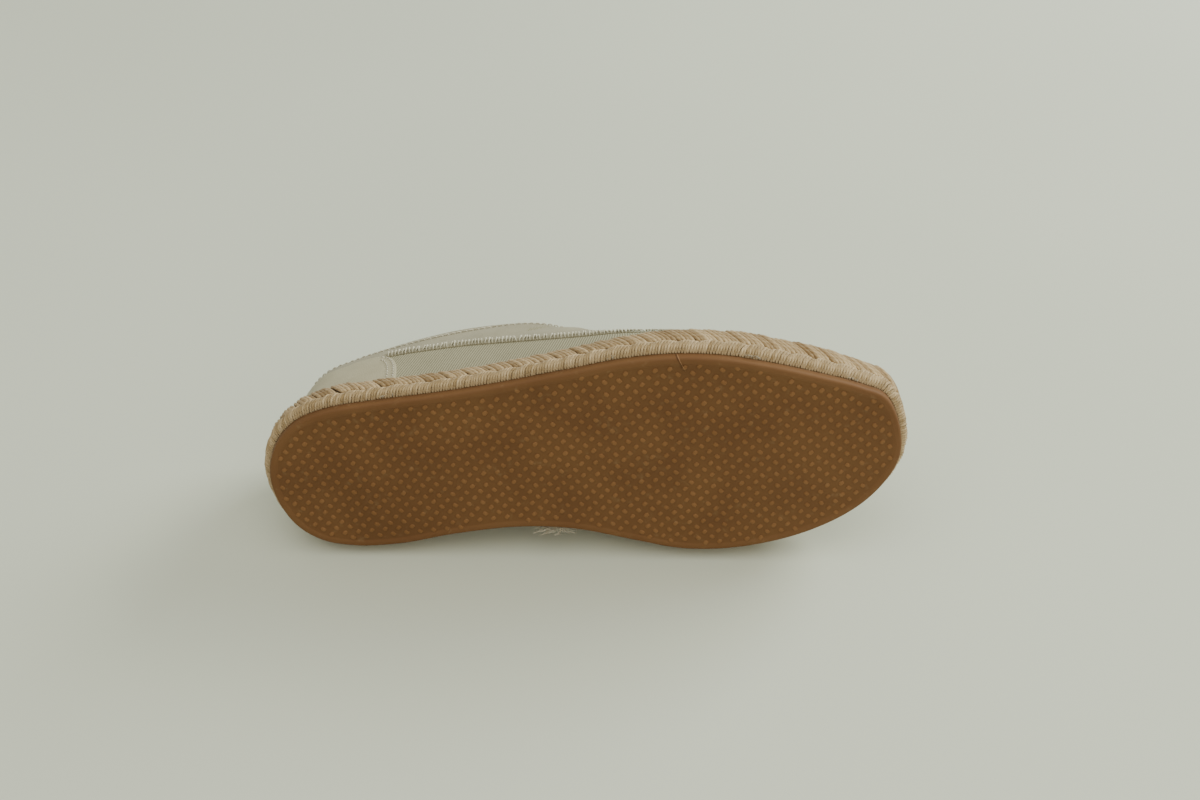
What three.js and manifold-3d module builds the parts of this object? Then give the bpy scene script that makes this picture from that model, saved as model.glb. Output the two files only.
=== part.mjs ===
// A right-foot espadrille lying on its medial side, in millimetres, +Z up.
// The pieces are worked out standing on their sole: x from the back of the heel to the toe,
// y towards the medial side and z up from the sole's underside. The last lines lay the shoe down.
import * as THREE from 'three';
import { mergeVertices } from 'three/addons/utils/BufferGeometryUtils.js';
import Module from 'manifold-3d';

const wasm = await Module();
wasm.setup();

// ---------------------------------------------------------------- driving dimensions
const LENGTH = 286; // rubber sole, back of heel to toe
const RUBBER_THICK = 4.4;
const GAP = 0.3; // clearance where one piece lies on another
const JUTE_BULGE = 3.5; // how far the braided edge stands outside the rubber
const WALL = 1.8; // upper: outer material and lining together
const FEATHER_INSET = 4.4; // foot of the upper, inside the rubber's outline
const INSOLE_THICK = 3.0;
const INSOLE_CLEAR = 1.0; // between insole edge and the upper's inner face
const TOE_SPRING = 4.5; // rise of the sole at its tip
const SPRING_START = 225;
const WAIST_LIFT = 0.5;
const WAIST = { from: 80, to: 165 };
const COUNTER_THICK = 1.0;
const COUNTER_FOOT = 59.5; // counter's front edge at the jute, from the back of the heel
const COUNTER_TIP = 45.5; // its front edge at the top
const COUNTER_TOP = 56.5; // its top edge above the sole's underside

// The shoe lies turned by these angles: the floor touches heel bulge, ball bulge and collar.
const LIE_YAW = 4.37; // degrees about the sole's normal
const LIE_LEAN = 10.18; // degrees that the sole leans back from upright

// Sections of sole and last, by distance x from the back of the heel.
// medial, lateral: half widths of the rubber. jute: top of the jute. ridge: y of the crown line.
// crown: height of the closed last there. latPower, medPower: powers of its section on the two
// sides, where 2 is an ellipse and more is boxier.
const SECTIONS = [
  { x: 0, medial: 0, lateral: 0, jute: 21, crown: 82, latPower: 1.55, medPower: 3.0, ridge: 0 },
  { x: 6, medial: 23.0, lateral: 20.5, jute: 20.9, crown: 82, latPower: 1.55, medPower: 4.5, ridge: 0 },
  { x: 16, medial: 33.0, lateral: 30.8, jute: 20.6, crown: 84, latPower: 1.6, medPower: 6.5, ridge: 0 },
  { x: 32, medial: 38.0, lateral: 37.0, jute: 20.0, crown: 90, latPower: 1.8, medPower: 9.0, ridge: 0 },
  { x: 52, medial: 38.3, lateral: 39.6, jute: 19.4, crown: 99, latPower: 2.5, medPower: 10.0, ridge: 0 },
  { x: 80, medial: 34.1, lateral: 41.9, jute: 19.2, crown: 105, latPower: 3.5, medPower: 10.0, ridge: 0 },
  { x: 110, medial: 32.1, lateral: 45.2, jute: 19.4, crown: 101, latPower: 3.2, medPower: 7.0, ridge: 1 },
  { x: 140, medial: 35.6, lateral: 49.9, jute: 20.2, crown: 87, latPower: 2.4, medPower: 3.2, ridge: 2 },
  { x: 165, medial: 43.2, lateral: 54.0, jute: 21.5, crown: 73, latPower: 1.85, medPower: 2.1, ridge: 3 },
  { x: 185, medial: 49.0, lateral: 55.0, jute: 22.8, crown: 63.5, latPower: 1.7, medPower: 1.8, ridge: 3 },
  { x: 205, medial: 50.3, lateral: 53.3, jute: 24.2, crown: 56, latPower: 1.7, medPower: 1.8, ridge: 2 },
  { x: 230, medial: 46.8, lateral: 47.3, jute: 25.0, crown: 50.5, latPower: 1.8, medPower: 1.8, ridge: 0 },
  { x: 250, medial: 40.4, lateral: 40.5, jute: 24.8, crown: 47.5, latPower: 1.8, medPower: 1.8, ridge: 0 },
  { x: 268, medial: 30.3, lateral: 33.0, jute: 23.8, crown: 45.5, latPower: 1.8, medPower: 1.8, ridge: 0 },
  { x: 279, medial: 19.0, lateral: 25.5, jute: 23.2, crown: 44.5, latPower: 1.8, medPower: 1.8, ridge: 0 },
  { x: 286, medial: 0, lateral: 0, jute: 23, crown: 44, latPower: 1.8, medPower: 1.8, ridge: 0 },
];

// Height of the collar's edge seen from the side. Past the throat it is above the crown.
const TOPLINE = [
  { x: 0, height: 62 },
  { x: 25, height: 62.5 },
  { x: 55, height: 68.5 },
  { x: 85, height: 75 },
  { x: 110, height: 78 },
  { x: 130, height: 80.5 },
  { x: 150, height: 87 },
  { x: 175, height: 102 },
  { x: 300, height: 180 },
];

// Rings of the jute's edge: grow is the part of the bulge, rise the part of its height.
const BRAID_PROFILE = [
  { grow: 0.1, rise: 0 },
  { grow: 0.6, rise: 0.06 },
  { grow: 0.92, rise: 0.18 },
  { grow: 1, rise: 0.34 },
  { grow: 0.93, rise: 0.52 },
  { grow: 0.78, rise: 0.74 },
  { grow: 0.5, rise: 0.9 },
  { grow: 0, rise: 1 },
];

const SPINE = { heel: 34, toe: 232 }; // between these the sections stand across the shoe
const COLLAR_AIM = { from: 95, reach: 33 }; // where the rays of the forepart aim, behind the throat
const STATIONS = 36; // along each side, closer together towards heel and toe
const ROWS = 14; // up the upper, foot to collar
const STEPS = 160; // along one ray while it is measured

// ---------------------------------------------------------------- tables and curves

// Smooth value of one column of a table at x, by a cubic between its rows.
function column(table, key, x, shape = (v) => v) {
  const value = (i) => shape(table[i][key]);
  const last = table.length - 1;
  let i = 0;
  while (i < last - 1 && x > table[i + 1].x) i += 1;
  const secant = (a) => (value(a + 1) - value(a)) / (table[a + 1].x - table[a].x);
  const slope = (a) => {
    if (a === 0) return secant(0);
    if (a === last) return secant(last - 1);
    const before = table[a].x - table[a - 1].x;
    const after = table[a + 1].x - table[a].x;
    return (secant(a - 1) * after + secant(a) * before) / (before + after);
  };
  const span = table[i + 1].x - table[i].x;
  const u = THREE.MathUtils.clamp((x - table[i].x) / span, 0, 1);
  const near = (2 * u ** 3 - 3 * u ** 2 + 1) * value(i) + (u ** 3 - 2 * u ** 2 + u) * span * slope(i);
  const far = (3 * u ** 2 - 2 * u ** 3) * value(i + 1) + (u ** 3 - u ** 2) * span * slope(i + 1);
  return near + far;
}

// Widths are smoothed as squares, so that heel and toe come out round.
function halfWidth(side, x) {
  return Math.sqrt(Math.max(0, column(SECTIONS, side, x, (v) => v * v)));
}

// The sole's underside: flat at heel and ball, lifted a little at the waist, sprung at the toe.
function soleLine(x) {
  if (x > SPRING_START) return TOE_SPRING * ((x - SPRING_START) / (LENGTH - SPRING_START)) ** 2;
  if (x < WAIST.from || x > WAIST.to) return 0;
  return WAIST_LIFT * Math.sin(Math.PI * (x - WAIST.from) / (WAIST.to - WAIST.from)) ** 2;
}

const juteTop = (x) => soleLine(x) + column(SECTIONS, 'jute', x);

// The rubber's outline as a loop: lateral side from heel to toe, then the medial side back.
function soleLoop(stations) {
  const loop = [];
  for (let i = 0; i <= stations; i += 1) {
    const x = LENGTH / 2 * (1 - Math.cos(Math.PI * i / stations));
    loop.push({ x, y: -halfWidth('lateral', x) });
  }
  for (let i = stations - 1; i > 0; i -= 1) {
    const x = LENGTH / 2 * (1 - Math.cos(Math.PI * i / stations));
    loop.push({ x, y: halfWidth('medial', x) });
  }
  return loop;
}

// The loop moved outwards by grow, or inwards when grow is negative.
function offsetLoop(loop, grow) {
  return loop.map((point, i) => {
    const before = loop[(i + loop.length - 1) % loop.length];
    const after = loop[(i + 1) % loop.length];
    const size = Math.hypot(after.x - before.x, after.y - before.y);
    const across = { x: (after.y - before.y) / size, y: (before.x - after.x) / size };
    return { x: point.x + across.x * grow, y: point.y + across.y * grow };
  });
}

const OUTLINE = soleLoop(STATIONS);
const FEATHER = offsetLoop(soleLoop(4 * STATIONS), -FEATHER_INSET);

// ---------------------------------------------------------------- the last

// Distance from a point of the spine to the feather line in one direction.
function reach(spine, direction) {
  let best = Infinity;
  FEATHER.forEach((a, i) => {
    const b = FEATHER[(i + 1) % FEATHER.length];
    const edge = { x: b.x - a.x, y: b.y - a.y };
    const det = direction.x * edge.y - direction.y * edge.x;
    if (Math.abs(det) < 1e-9) return;
    const to = { x: a.x - spine.x, y: a.y - spine.y };
    const along = (to.x * edge.y - to.y * edge.x) / det;
    const part = (to.x * direction.y - to.y * direction.x) / det;
    if (along > 0 && part >= -1e-6 && part <= 1 + 1e-6) best = Math.min(best, along);
  });
  return best;
}

// Height of the last over a point of the plan.
function lastHeight(x, y) {
  const along = THREE.MathUtils.clamp(x, SPINE.heel, SPINE.toe);
  const spine = { x: along, y: column(SECTIONS, 'ridge', along) };
  const distance = Math.hypot(x - spine.x, y - spine.y);
  const foot = juteTop(x) + GAP;
  const rise = soleLine(x) + column(SECTIONS, 'crown', x) - foot;
  if (distance < 1e-6) return foot + rise;
  const direction = { x: (x - spine.x) / distance, y: (y - spine.y) / distance };
  const share = Math.min(1, distance / reach(spine, direction));
  const medial = (1 + direction.y) / 2;
  const lateralPower = column(SECTIONS, 'latPower', along);
  const power = THREE.MathUtils.lerp(lateralPower, column(SECTIONS, 'medPower', along), medial);
  return foot + rise * Math.sqrt(1 - share ** power);
}

// One ray up the upper, from the feather line to the collar, as rows + 1 evenly spaced points.
function ray(start, rows) {
  const past = Math.max(0, start.x - COLLAR_AIM.from);
  const aimX = Math.max(SPINE.heel, start.x - past + COLLAR_AIM.reach * Math.tanh(past / COLLAR_AIM.reach));
  const aim = { x: aimX, y: column(SECTIONS, 'ridge', aimX) };
  const path = [new THREE.Vector3(start.x, start.y, juteTop(start.x) + GAP)];
  for (let i = 1; i <= STEPS; i += 1) {
    const part = (i / STEPS) ** 2;
    const x = start.x + (aim.x - start.x) * part;
    const y = start.y + (aim.y - start.y) * part;
    const point = new THREE.Vector3(x, y, lastHeight(x, y));
    const above = point.z - column(TOPLINE, 'height', x);
    if (above >= 0) {
      const before = path[path.length - 1];
      const below = column(TOPLINE, 'height', before.x) - before.z;
      path.push(before.clone().lerp(point, below / (below + above)));
      break;
    }
    path.push(point);
  }
  return evenly(path, rows);
}

// A path's points spread out again at even distances along it.
function evenly(path, rows) {
  const lengths = [0];
  for (let i = 1; i < path.length; i += 1) lengths.push(lengths[i - 1] + path[i].distanceTo(path[i - 1]));
  const total = lengths[lengths.length - 1];
  const points = [];
  let i = 1;
  for (let row = 0; row <= rows; row += 1) {
    const target = total * row / rows;
    while (i < path.length - 1 && lengths[i] < target) i += 1;
    const part = (target - lengths[i - 1]) / (lengths[i] - lengths[i - 1]);
    points.push(path[i - 1].clone().lerp(path[i], part));
  }
  return points;
}

// The upper's outer surface: a ray for each point of the loop, and its outward normals.
function upperSurface() {
  const rays = offsetLoop(OUTLINE, -FEATHER_INSET).map((start) => ray(start, ROWS));
  const normals = rays.map((points, i) => points.map((point, row) => {
    const left = rays[(i + rays.length - 1) % rays.length][row];
    const right = rays[(i + 1) % rays.length][row];
    const lower = points[Math.max(0, row - 1)];
    const upper = points[Math.min(ROWS, row + 1)];
    const normal = right.clone().sub(left).cross(upper.clone().sub(lower));
    if (row === 0) normal.z = 0;
    return normal.normalize();
  }));
  return { rays, normals };
}

// ---------------------------------------------------------------- closed bodies

// A body from vertices and triangles.
function body(name, points, triangles, finish) {
  const coordinates = points.flatMap((p) => [p.x, p.y, p.z]);
  const geometry = new THREE.BufferGeometry();
  geometry.setAttribute('position', new THREE.Float32BufferAttribute(coordinates, 3));
  geometry.setIndex(triangles.flat());
  geometry.computeVertexNormals();
  const mesh = new THREE.Mesh(geometry, new THREE.MeshStandardMaterial(finish));
  mesh.name = name;
  return mesh;
}

const quad = (a, b, c, d) => [[a, b, c], [a, c, d]];

// A geometry as a solid to cut, and back.
function toSolid(geometry) {
  const bare = geometry.clone();
  bare.deleteAttribute('normal');
  bare.deleteAttribute('uv');
  const merged = mergeVertices(bare, 1e-4);
  const vertProperties = new Float32Array(merged.attributes.position.array);
  const triVerts = new Uint32Array(merged.index.array);
  return new wasm.Manifold(new wasm.Mesh({ numProp: 3, vertProperties, triVerts }));
}

function fromSolid(name, solid, finish) {
  const { vertProperties, triVerts } = solid.getMesh();
  const points = [];
  for (let i = 0; i < vertProperties.length; i += 3) {
    points.push(new THREE.Vector3(vertProperties[i], vertProperties[i + 1], vertProperties[i + 2]));
  }
  return body(name, points, [Array.from(triVerts)], finish);
}

// A slab between rings of the sole's loop, lowest first, closed below and above across the shoe.
function slab(name, rings, finish) {
  const count = rings[0].length;
  const half = count / 2;
  const triangles = [];
  for (let level = 0; level < rings.length - 1; level += 1) {
    for (let i = 0; i < count; i += 1) {
      const next = (i + 1) % count;
      const low = level * count;
      const high = low + count;
      triangles.push(...quad(low + i, low + next, high + next, high + i));
    }
  }
  const cap = (base, flip) => {
    for (let i = 0; i < half; i += 1) {
      const across = (count - i) % count;
      const corners = [base + i, base + i + 1, base + count - i - 1, base + across];
      if (flip) corners.reverse();
      const [a, b, c, d] = corners;
      [[a, b, c], [a, c, d]].forEach((face) => {
        if (new Set(face).size === 3) triangles.push(face);
      });
    }
  };
  cap(0, true);
  cap((rings.length - 1) * count, false);
  return body(name, rings.flat(), triangles, finish);
}

function outsole() {
  const edge = (grow, lift) => offsetLoop(OUTLINE, grow)
    .map((p) => new THREE.Vector3(p.x, p.y, soleLine(p.x) + lift));
  const rings = [edge(-0.6, 0), edge(0, 0.6), edge(0, RUBBER_THICK)];
  return slab('outsole', rings, { color: 0x6a492a, roughness: 0.75, metalness: 0 });
}

function juteMidsole() {
  const rings = BRAID_PROFILE.map(({ grow, rise }) => offsetLoop(OUTLINE, grow * JUTE_BULGE).map((p) => {
    const low = soleLine(p.x) + RUBBER_THICK + GAP;
    return new THREE.Vector3(p.x, p.y, low + rise * (juteTop(p.x) - low));
  }));
  return slab('jute_midsole', rings, { color: 0xa18f6f, roughness: 0.95, metalness: 0 });
}

function insole() {
  const inset = FEATHER_INSET + WALL + INSOLE_CLEAR;
  const edge = (grow, lift) => offsetLoop(OUTLINE, grow - inset)
    .map((p) => new THREE.Vector3(p.x, p.y, juteTop(p.x) + GAP + lift));
  const rings = [edge(0, 0), edge(-0.3, INSOLE_THICK - 1), edge(-1.5, INSOLE_THICK)];
  return slab('insole', rings, { color: 0xb5aa8c, roughness: 0.9, metalness: 0 });
}

// A wall with an outer and an inner face over a part of the upper's rays and rows.
function wall(name, outer, inner, closed, finish) {
  const count = outer.length;
  const rows = outer[0].length;
  const size = count * rows;
  const at = (i, row) => (i % count) * rows + row;
  const triangles = [];
  const spans = closed ? count : count - 1;
  for (let i = 0; i < spans; i += 1) {
    for (let row = 0; row < rows - 1; row += 1) {
      const [a, b, c, d] = [at(i, row), at(i + 1, row), at(i + 1, row + 1), at(i, row + 1)];
      triangles.push(...quad(a, b, c, d));
      triangles.push(...quad(size + a, size + d, size + c, size + b));
    }
    const [a, b] = [at(i, 0), at(i + 1, 0)];
    const [c, d] = [at(i, rows - 1), at(i + 1, rows - 1)];
    triangles.push(...quad(b, a, size + a, size + b));
    triangles.push(...quad(c, d, size + d, size + c));
  }
  if (!closed) {
    for (let row = 0; row < rows - 1; row += 1) {
      const [a, b] = [at(0, row), at(0, row + 1)];
      const [c, d] = [at(count - 1, row), at(count - 1, row + 1)];
      triangles.push(...quad(a, b, size + b, size + a));
      triangles.push(...quad(d, c, size + c, size + d));
    }
  }
  return body(name, [...outer.flat(), ...inner.flat()], triangles, finish);
}

const moved = (rays, normals, distance) => rays.map((points, i) => (
  points.map((point, row) => point.clone().addScaledVector(normals[i][row], distance))
));

function upper({ rays, normals }) {
  const inner = moved(rays, normals, -WALL);
  return wall('upper', rays, inner, true, { color: 0xa39b86, roughness: 0.95, metalness: 0 });
}

// The counter: a thin wall just outside the upper, cut to its outline seen from the side.
function heelCounter({ rays, normals }) {
  const near = moved(rays, normals, GAP);
  const far = moved(rays, normals, GAP + COUNTER_THICK);
  const shell = wall('shell', far, near, true, {});
  const outline = new THREE.Shape();
  outline.moveTo(-2 * COUNTER_FOOT, 0);
  outline.lineTo(COUNTER_FOOT, 0);
  outline.lineTo(COUNTER_FOOT, column(SECTIONS, 'jute', COUNTER_FOOT));
  outline.quadraticCurveTo(COUNTER_FOOT, COUNTER_TOP, COUNTER_TIP, COUNTER_TOP);
  outline.lineTo(-2 * COUNTER_FOOT, COUNTER_TOP);
  const across = 2 * LENGTH;
  const extrusion = { depth: across, bevelEnabled: false, curveSegments: 6 };
  const cutter = new THREE.ExtrudeGeometry(outline, extrusion);
  cutter.rotateX(Math.PI / 2).translate(0, across / 2, 0);
  const finish = { color: 0xb0ab95, roughness: 0.6, metalness: 0 };
  return fromSolid('heel_counter', toSolid(shell.geometry).intersect(toSolid(cutter)), finish);
}

// ---------------------------------------------------------------- the shoe, laid on its medial side

const surface = upperSurface();
const pieces = [outsole(), juteMidsole(), insole(), upper(surface), heelCounter(surface)];

const shoe = new THREE.Group();
shoe.add(...pieces);
const lean = THREE.MathUtils.degToRad(LIE_LEAN);
const yaw = THREE.MathUtils.degToRad(LIE_YAW);
shoe.rotation.set(-Math.PI / 2 - lean, 0, -yaw, 'XYZ');

const espadrille = new THREE.Group();
espadrille.add(shoe);
espadrille.updateMatrixWorld(true);
const box = new THREE.Box3().setFromObject(shoe, true);
const middle = box.getCenter(new THREE.Vector3());
shoe.position.set(-middle.x, -middle.y, -box.min.z);
espadrille.updateMatrixWorld(true);

export default espadrille;
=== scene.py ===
import itertools
import math
import random

import bmesh
import bpy
import numpy as np
from mathutils import Matrix, Vector


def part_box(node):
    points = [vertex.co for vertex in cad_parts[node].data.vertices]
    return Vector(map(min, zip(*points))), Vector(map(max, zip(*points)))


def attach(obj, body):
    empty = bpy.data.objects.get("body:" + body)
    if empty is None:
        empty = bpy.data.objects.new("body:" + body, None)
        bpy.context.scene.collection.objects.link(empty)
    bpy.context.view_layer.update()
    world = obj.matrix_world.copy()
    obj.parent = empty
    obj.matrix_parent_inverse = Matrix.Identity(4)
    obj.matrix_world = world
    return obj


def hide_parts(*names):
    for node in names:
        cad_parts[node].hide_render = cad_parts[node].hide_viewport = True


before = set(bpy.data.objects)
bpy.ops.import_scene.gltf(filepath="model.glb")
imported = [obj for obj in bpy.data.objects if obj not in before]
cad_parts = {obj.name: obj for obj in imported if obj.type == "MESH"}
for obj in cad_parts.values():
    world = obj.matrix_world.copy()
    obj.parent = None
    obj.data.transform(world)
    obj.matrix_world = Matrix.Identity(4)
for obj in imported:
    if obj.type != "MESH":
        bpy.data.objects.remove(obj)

bl_info = {
    "name": "Espadrille",
    "version": (1, 0, 0),
    "blender": (4, 5, 0),
    "location": "View3D > Sidebar > Espadrille",
    "description": "Builds a right-foot espadrille lying on its medial side, and its studio",
    "category": "Object",
}

# ---------------------------------------------------------------- the shoe's measures, millimetres
# The shoe is worked out standing on its sole: x from the back of the heel to the toe, y towards
# the medial side, z up from the sole's underside. LAY then lays it down in the CAD's frame.

LENGTH = 286.0
RUBBER_THICK = 4.4
GAP = 0.3  # between the jute and what stands on it
JUTE_BULGE = 3.5
FEATHER_INSET = 4.4  # from the rubber's edge in to where the upper meets the jute
TOE_SPRING = 4.5
SPRING_START = 225.0
WAIST_LIFT = 0.5
WAIST = (80.0, 165.0)
LIE_YAW = math.radians(4.37)
LIE_LEAN = math.radians(10.18)
COUNTER_FOOT = 59.5  # x of the counter's front edge at the jute
COUNTER_TIP = 45.5  # and at its top
COUNTER_BASE = 20.0
COUNTER_TOP = 54.8
SPINE = (34.0, 232.0)  # ends of the crown line
COLLAR_AIM = (95.0, 33.0)  # lines up the skin lean back past the first x, by up to the second
RAY_STEPS = 160
MM = 0.001  # one millimetre in metres
OUTLINE_STEPS = 144
WELD = 0.004  # points nearer than this are one
BRAID_SIDE = 15.0  # height over which the upper yarns lean

# x, medial and lateral half widths, top of the jute, crown, powers of the section on the lateral
# and medial side, and y of the crown line.
SECTIONS = np.array([
    (0, 0, 0, 21, 82, 1.55, 3.0, 0),
    (6, 23.0, 20.5, 20.9, 82, 1.55, 4.5, 0),
    (16, 33.0, 30.8, 20.6, 84, 1.6, 6.5, 0),
    (32, 38.0, 37.0, 20.0, 90, 1.8, 9.0, 0),
    (52, 38.3, 39.6, 19.4, 99, 2.5, 10.0, 0),
    (80, 34.1, 41.9, 19.2, 105, 3.5, 10.0, 0),
    (110, 32.1, 45.2, 19.4, 101, 3.2, 7.0, 1),
    (140, 35.6, 49.9, 20.2, 87, 2.4, 3.2, 2),
    (165, 43.2, 54.0, 21.5, 73, 1.85, 2.1, 3),
    (185, 49.0, 55.0, 22.8, 63.5, 1.7, 1.8, 3),
    (205, 50.3, 53.3, 24.2, 56, 1.7, 1.8, 2),
    (230, 46.8, 47.3, 25.0, 50.5, 1.8, 1.8, 0),
    (250, 40.4, 40.5, 24.8, 47.5, 1.8, 1.8, 0),
    (268, 30.3, 33.0, 23.8, 45.5, 1.8, 1.8, 0),
    (279, 19.0, 25.5, 23.2, 44.5, 1.8, 1.8, 0),
    (286, 0, 0, 23, 44, 1.8, 1.8, 0),
])
MEDIAL, LATERAL, JUTE, CROWN, LATERAL_POWER, MEDIAL_POWER, RIDGE = range(1, 8)

# Height of the collar's edge at x.
TOPLINE = np.array([
    (0, 62), (25, 62.5), (55, 68.5), (85, 75), (110, 78), (130, 80.5),
    (150, 87), (175, 102), (300, 180),
])

# Height at x of the seam between canvas side and suede; it runs down to the jute at the toe.
SEAM = np.array([
    (0, 49), (38, 51.4), (52, 53.4), (72, 53.4), (90, 52.9), (105, 50.7), (130, 45.8),
    (150, 42.4), (167, 40.6), (186, 37), (204, 30.2), (222, 21),
])

# Rings of the braid's side: part of the bulge, and part of its height.
BRAID_PROFILE = np.array([
    (0.1, 0), (0.6, 0.06), (0.92, 0.18), (1, 0.34), (0.93, 0.52), (0.78, 0.74), (0.5, 0.9), (0, 1),
])

# Rings of the rubber's side down to its underside: growth past the outline, and height. The
# fourth and fifth are a fine groove below the jute.
SOLE_EDGE = [
    (-0.15, RUBBER_THICK), (0, RUBBER_THICK - 0.12), (0.05, 3.75), (-0.12, 3.6), (-0.12, 3.45),
    (0.05, 3.3), (0, 1.5), (-0.16, 0.8), (-0.5, 0.3), (-1.0, 0.06), (-1.5, 0),
]

# A lug is a bar with its corners cut; the grid's first one stands this many cells from the heel.
LUG_OUTLINE = [
    (-1.2, -0.5), (-0.7, -0.95), (0.7, -0.95), (1.2, -0.5),
    (1.2, 0.5), (0.7, 0.95), (-0.7, 0.95), (-1.2, 0.5),
]
TREAD_START = (22.68, -1.87)


def column(table, key, x, power=1):
    """Smooth values of one column of a table at x, by a cubic between its rows."""
    x = np.asarray(x, float)
    at, values = table[:, 0], table[:, key] ** power
    secants = np.diff(values) / np.diff(at)
    spans = np.diff(at)
    slopes = np.empty(len(at))
    slopes[0], slopes[-1] = secants[0], secants[-1]
    slopes[1:-1] = (secants[:-1] * spans[1:] + secants[1:] * spans[:-1]) / (spans[:-1] + spans[1:])
    i = np.clip(np.searchsorted(at, x, side="left") - 1, 0, len(at) - 2)
    span = spans[i]
    u = np.clip((x - at[i]) / span, 0, 1)
    near = (2 * u**3 - 3 * u**2 + 1) * values[i] + (u**3 - 2 * u**2 + u) * span * slopes[i]
    far = (3 * u**2 - 2 * u**3) * values[i + 1] + (u**3 - u**2) * span * slopes[i + 1]
    return near + far


def half_width(side, x):
    return np.sqrt(np.maximum(0, column(SECTIONS, side, x, power=2)))


def sole_line(x):
    """Height of the sole's underside: lifted at the waist and sprung at the toe."""
    x = np.asarray(x, float)
    spring = TOE_SPRING * (np.maximum(0, x - SPRING_START) / (LENGTH - SPRING_START)) ** 2
    along = np.clip((x - WAIST[0]) / (WAIST[1] - WAIST[0]), 0, 1)
    return spring + WAIST_LIFT * np.sin(np.pi * along) ** 2


def jute_top(x):
    return sole_line(x) + column(SECTIONS, JUTE, x)


def sole_loop(stations):
    """The rubber's outline: lateral side from heel to toe, then the medial side back."""
    x = LENGTH / 2 * (1 - np.cos(np.pi * np.arange(stations + 1) / stations))
    lateral = np.stack([x, -half_width(LATERAL, x)], axis=1)
    medial = np.stack([x, half_width(MEDIAL, x)], axis=1)
    return np.concatenate([lateral, medial[-2:0:-1]])


def outward(loop):
    """Unit outward normals of a closed loop in plan."""
    run = np.roll(loop, -1, axis=0) - np.roll(loop, 1, axis=0)
    normal = np.stack([run[:, 1], -run[:, 0]], axis=1)
    return normal / np.linalg.norm(normal, axis=1, keepdims=True)


def offset_loop(loop, grow):
    return loop + outward(loop) * grow


def running_length(path):
    """Length along a path up to each of its points."""
    return np.concatenate([[0], np.cumsum(np.linalg.norm(np.diff(path, axis=0), axis=1))])


def even_loop(loop, count):
    """A closed loop again, as points at even distances along it."""
    closed = np.concatenate([loop, loop[:1]])
    lengths = running_length(closed)
    at = np.linspace(0, lengths[-1], count, endpoint=False)
    points = np.stack([np.interp(at, lengths, closed[:, k]) for k in range(2)], axis=1)
    return points, lengths[-1]


FEATHER = offset_loop(sole_loop(OUTLINE_STEPS), -FEATHER_INSET)


def reach(origin, direction):
    """Distances from points of the spine to the feather line in given directions."""
    edge = np.roll(FEATHER, -1, axis=0) - FEATHER
    to = FEATHER[None] - origin[:, None]
    det = direction[:, None, 0] * edge[None, :, 1] - direction[:, None, 1] * edge[None, :, 0]
    det = np.where(np.abs(det) < 1e-9, 1e-9, det)
    along = (to[..., 0] * edge[None, :, 1] - to[..., 1] * edge[None, :, 0]) / det
    part = (to[..., 0] * direction[:, None, 1] - to[..., 1] * direction[:, None, 0]) / det
    hit = (along > 0) & (part >= -1e-6) & (part <= 1 + 1e-6)
    return np.where(hit, along, np.inf).min(axis=1)


def last_height(x, y):
    """Height of the last over points of the plan."""
    along = np.clip(x, *SPINE)
    spine = np.stack([along, column(SECTIONS, RIDGE, along)], axis=1)
    to = np.stack([x, y], axis=1) - spine
    distance = np.linalg.norm(to, axis=1)
    foot = jute_top(x) + GAP
    rise = sole_line(x) + column(SECTIONS, CROWN, x) - foot
    direction = to / np.maximum(distance, 1e-6)[:, None]
    share = np.minimum(1, distance / reach(spine, direction))
    medial = (1 + direction[:, 1]) / 2
    powers = [column(SECTIONS, key, along) for key in (LATERAL_POWER, MEDIAL_POWER)]
    power = powers[0] * (1 - medial) + powers[1] * medial
    return foot + rise * np.sqrt(1 - share**power)


def ray(start, rows):
    """One line up the upper, from the feather line to the collar, as rows + 1 points."""
    past = max(0.0, start[0] - COLLAR_AIM[0])
    aim_x = max(SPINE[0], start[0] - past + COLLAR_AIM[1] * math.tanh(past / COLLAR_AIM[1]))
    aim = np.array([aim_x, float(column(SECTIONS, RIDGE, aim_x))])
    part = (np.arange(RAY_STEPS + 1) / RAY_STEPS)[:, None] ** 2
    plan = start + (aim - start) * part
    z = last_height(plan[:, 0], plan[:, 1])
    z[0] = jute_top(start[0]) + GAP
    above = z - column(TOPLINE, 1, plan[:, 0])
    path = np.column_stack([plan, z])
    over = np.flatnonzero(above[1:] >= 0)
    if len(over):
        end = over[0] + 1
        mix = above[end - 1] / (above[end - 1] - above[end])
        path = np.vstack([path[:end], path[end - 1] + (path[end] - path[end - 1]) * mix])
    lengths = running_length(path)
    at = np.linspace(0, lengths[-1], rows + 1)
    return np.stack([np.interp(at, lengths, path[:, k]) for k in range(3)], axis=1)


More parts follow.
